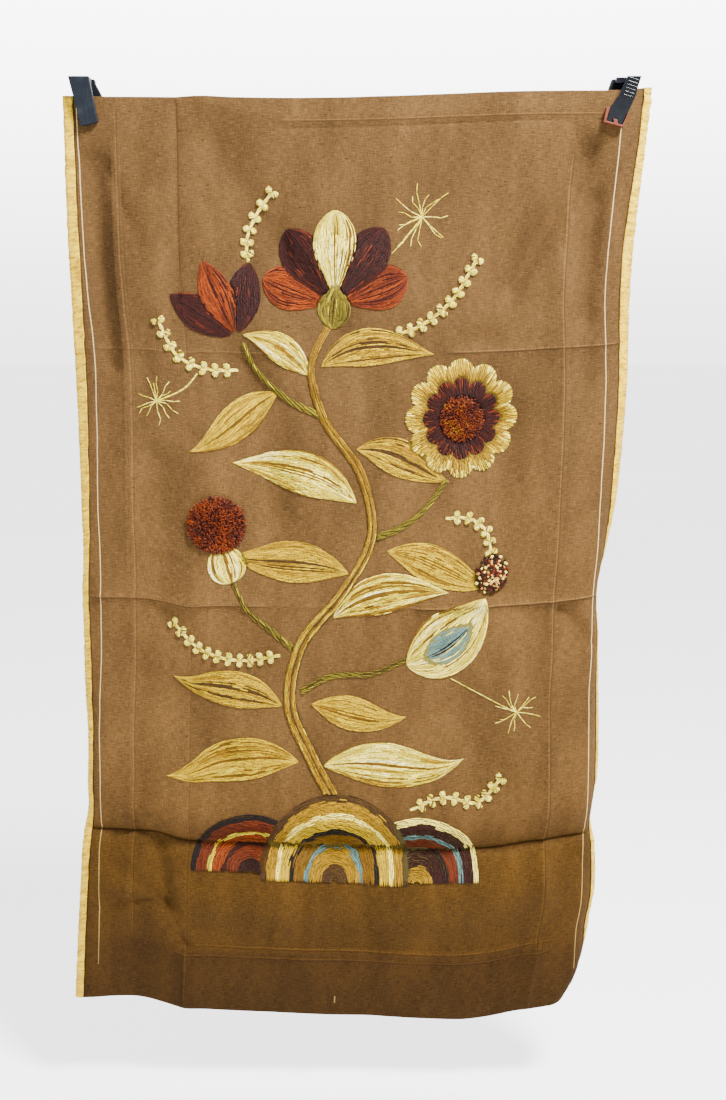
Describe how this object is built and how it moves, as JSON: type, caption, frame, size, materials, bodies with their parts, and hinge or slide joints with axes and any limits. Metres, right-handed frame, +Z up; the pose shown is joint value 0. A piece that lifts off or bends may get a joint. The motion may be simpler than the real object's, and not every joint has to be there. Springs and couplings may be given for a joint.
{
  "type": "crewel wall hanging with two spring clamps",
  "caption": "Unmounted brown linen panel worked in wool with a flowering tree, its sides bound in paper tape, hanging by its top corners from spring clamps.",
  "frame": {"origin": "between the two clamps, at the height of their flat tops, in the plane that the cloth hangs in", "axes": "+X to the viewer's right along the top edge, +Y back towards the wall, +Z up; the worked face looks towards -Y"},
  "size_m": [0.6715, 0.0645, 1.11],
  "materials": {
    "wool_burgundy": "burgundy wool stitches",
    "wool_rust": "rust wool stitches",
    "wool_olive": "olive wool stitches",
    "pile_dark": "dark red cut wool pile",
    "black_moulding": "black moulded plastic, satin",
    "soft_jaw": "orange-brown soft plastic, matt",
    "wool_cream": "cream wool stitches",
    "pile_rust": "rust-orange cut wool pile",
    "wool_yellow": "yellow wool stitches",
    "paper_tape": "aged cream-yellow crepe paper tape, creased",
    "wool_blue": "pale blue wool stitches",
    "wool_gold": "gold wool stitches",
    "linen": "plain-weave brown linen with slubs, matt",
    "wool_straw": "straw-coloured wool knots and stem stitch"
  },
  "bodies": {
    "root": {"bell_petal_left": "wool_burgundy", "bell_petal_middle": "wool_rust", "bell_petal_right": "wool_burgundy", "branch_high_left": "wool_olive", "branch_low_left": "wool_olive", "branch_low_right": "wool_olive", "branch_mid_right": "wool_olive", "bud_head": "pile_dark", "clamp_left_front_arm": "black_moulding", "clamp_left_hinge": "black_moulding", "clamp_left_rear_arm": "black_moulding", "clamp_right_front_arm": "black_moulding", "clamp_right_hinge": "black_moulding", "clamp_right_jaw": "soft_jaw", "clamp_right_rear_arm": "black_moulding", "crown_calyx": "wool_olive", "crown_petal_lower_left": "wool_rust", "crown_petal_lower_right": "wool_rust", "crown_petal_middle": "wool_cream", "crown_petal_upper_left": "wool_burgundy", "crown_petal_upper_right": "wool_burgundy", "daisy_eye": "pile_rust", "daisy_inner_ring": "wool_burgundy", "daisy_outer_ring": "wool_yellow", "edge_tape_left": "paper_tape", "edge_tape_right": "paper_tape", "fruit": "wool_cream", "fruit_heart": "wool_blue", "hillock_front": "wool_gold", "hillock_left": "wool_rust", "hillock_right": "wool_burgundy", "leaf_back_left": "wool_cream", "leaf_crown_left": "wool_cream", "leaf_crown_right": "wool_gold", "leaf_foot_left": "wool_yellow", "leaf_foot_right": "wool_cream", "leaf_heart_right": "wool_cream", "leaf_high_left": "wool_yellow", "leaf_high_right": "wool_gold", "leaf_low_left": "wool_gold", "leaf_low_right": "wool_yellow", "leaf_mid_left": "wool_gold", "leaf_mid_right": "wool_yellow", "linen_panel": "linen", "spray_bell": "wool_straw", "spray_bud": "wool_straw", "spray_crown_left": "wool_straw", "spray_crown_right": "wool_straw", "spray_foot": "wool_straw", "spray_low_left": "wool_straw", "thistle_cup": "wool_cream", "thistle_head": "pile_rust", "trunk": "wool_gold"}
  },
  "joints": []
}
